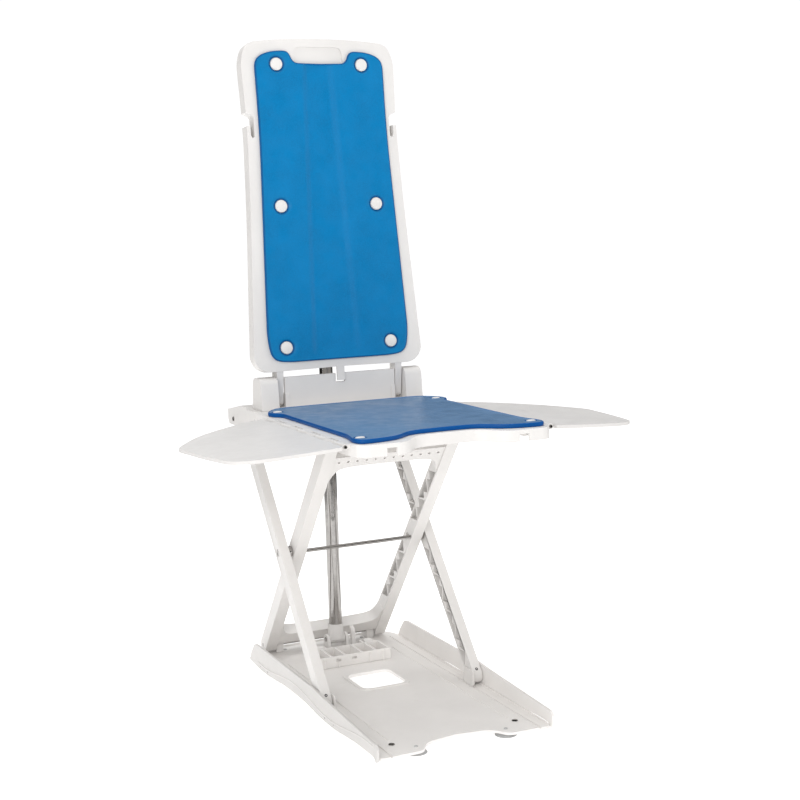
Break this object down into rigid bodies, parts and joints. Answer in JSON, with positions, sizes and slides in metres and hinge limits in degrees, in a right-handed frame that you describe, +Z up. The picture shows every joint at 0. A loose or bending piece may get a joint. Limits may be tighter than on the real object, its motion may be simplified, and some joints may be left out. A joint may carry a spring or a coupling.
{
  "type": "bath lift",
  "caption": "Powered scissor-type bath lift: flat base with suction cups, crossed arms with a steel lift column, cushioned seat with folding side flaps and a tall reclining backrest.",
  "frame": {"origin": "bottom centre of the whole lift's bounding box, on the floor", "axes": "+Z up, the sitter faces -Y, +X across the seat"},
  "size_m": [0.7158, 0.616, 1.0973],
  "materials": {
    "white_plastic": "warm white satin moulded plastic with a fine grain",
    "blue_cover": "bright blue soft-foam cover with a smooth matt skin",
    "blue_pad": "blue soft-foam seat cover, smooth, with a slight sheen",
    "steel": "polished stainless steel",
    "black_rubber": "dark grey rubber",
    "dark_plastic": "dark moulded plastic"
  },
  "bodies": {
    "base": {"base_plate": "white_plastic", "suction_cup_front_left": "black_rubber", "suction_cup_rear_left": "black_rubber", "suction_cup_front_right": "black_rubber", "suction_cup_rear_right": "black_rubber", "side_guard_left": "white_plastic", "track_screw_left": "steel", "side_guard_right": "white_plastic", "track_screw_right": "steel", "axle_bracket_left": "white_plastic", "axle_bracket_right": "white_plastic", "pivot_axle": "steel", "drive_dock": "white_plastic", "column_bracket": "white_plastic", "column_pin": "steel", "lever_pin": "steel"},
    "release_lever": {"release_lever": "white_plastic"},
    "dock_roller_left": {"dock_roller_left": "white_plastic"},
    "dock_roller_right": {"dock_roller_right": "white_plastic"},
    "inner_frame": {"inner_frame": "white_plastic", "cross_rod": "steel", "scissor_pin_left": "steel", "scissor_pin_right": "steel"},
    "outer_arms": {"outer_arm_left": "white_plastic", "outer_arm_right": "white_plastic"},
    "lower_shoes": {"lower_shoe_left": "white_plastic", "lower_shoe_right": "white_plastic"},
    "upper_shoes": {"upper_shoe_left": "white_plastic", "upper_shoe_right": "white_plastic"},
    "seat": {"top_pin_left": "steel", "top_pin_right": "steel", "seat_pan": "white_plastic", "seat_pad": "blue_pad", "pad_peg_front_left": "white_plastic", "pad_peg_front_right": "white_plastic", "pad_peg_rear_left": "white_plastic", "pad_peg_rear_right": "white_plastic", "flap_pin_left": "steel", "flap_pin_right": "steel", "hinge_block": "white_plastic", "backrest_pin_left": "steel", "backrest_pin_right": "steel"},
    "flap_left": {"flap_left": "white_plastic"},
    "flap_right": {"flap_right": "white_plastic"},
    "backrest": {"backrest_shell": "white_plastic", "backrest_cover": "blue_cover", "snap_button_low_left": "white_plastic", "snap_button_low_right": "white_plastic", "snap_button_middle_left": "white_plastic", "snap_button_middle_right": "white_plastic", "snap_button_high_left": "white_plastic", "snap_button_high_right": "white_plastic", "drive_housing": "white_plastic", "housing_cover": "white_plastic", "drive_motor": "dark_plastic", "gearbox": "dark_plastic", "hand_control_socket": "dark_plastic"},
    "column": {"column_foot": "white_plastic", "lift_tube": "steel", "lift_spindle": "steel"}
  },
  "joints": [
    {"name": "lift", "type": "hinge", "parent": "base", "child": "inner_frame", "pos_m": [0, 0.276, 0.024], "axis": [1, 0, 0], "range_deg": [0, 50.5]},
    {"name": "scissor_cross", "type": "hinge", "parent": "inner_frame", "child": "outer_arms", "pos_m": [0, 0.103, 0.234], "axis": [1, 0, 0], "range_deg": [-101.2, 0]},
    {"name": "lower_shoe_pivot", "type": "hinge", "parent": "outer_arms", "child": "lower_shoes", "pos_m": [0, -0.07, 0.024], "axis": [1, 0, 0], "range_deg": [0, 50.6]},
    {"name": "upper_shoe_pivot", "type": "hinge", "parent": "inner_frame", "child": "upper_shoes", "pos_m": [0, -0.07, 0.444], "axis": [1, 0, 0], "range_deg": [-50.6, 0]},
    {"name": "seat_pivot", "type": "hinge", "parent": "outer_arms", "child": "seat", "pos_m": [0, 0.276, 0.444], "axis": [1, 0, 0], "range_deg": [0, 50.6]},
    {"name": "recline", "type": "hinge", "parent": "seat", "child": "backrest", "pos_m": [0, 0.161, 0.486], "axis": [-1, 0, 0], "range_deg": [0, 40]},
    {"name": "column_tilt", "type": "hinge", "parent": "base", "child": "column", "pos_m": [0, 0.214, 0.036], "axis": [-1, 0, 0], "range_deg": [0, 39.3]},
    {"name": "flap_left_fold", "type": "hinge", "parent": "seat", "child": "flap_left", "pos_m": [-0.169, 0, 0.468], "axis": [0, 1, 0], "range_deg": [0, 94]},
    {"name": "flap_right_fold", "type": "hinge", "parent": "seat", "child": "flap_right", "pos_m": [0.169, 0, 0.468], "axis": [0, -1, 0], "range_deg": [0, 94]},
    {"name": "release_lever_pull", "type": "hinge", "parent": "base", "child": "release_lever", "pos_m": [0.0285, 0.203, 0.017], "axis": [1, 0, 0], "range_deg": [0, 14], "stiffness_Nm_per_rad": 0.06, "springref_deg": -8.59},
    {"name": "dock_roller_left_spin", "type": "hinge", "parent": "base", "child": "dock_roller_left", "pos_m": [-0.04, 0.202, 0.021], "axis": [1, 0, 0], "continuous": true},
    {"name": "dock_roller_right_spin", "type": "hinge", "parent": "base", "child": "dock_roller_right", "pos_m": [0.055, 0.202, 0.021], "axis": [1, 0, 0], "continuous": true}
  ],
  "couplings": [
    {"joint": "scissor_cross", "follows": "lift", "ratio": -2},
    {"joint": "lower_shoe_pivot", "follows": "lift", "ratio": 1},
    {"joint": "upper_shoe_pivot", "follows": "lift", "ratio": -1},
    {"joint": "seat_pivot", "follows": "lift", "ratio": 1},
    {"joint": "column_tilt", "follows": "recline", "ratio": 0.979}
  ]
}
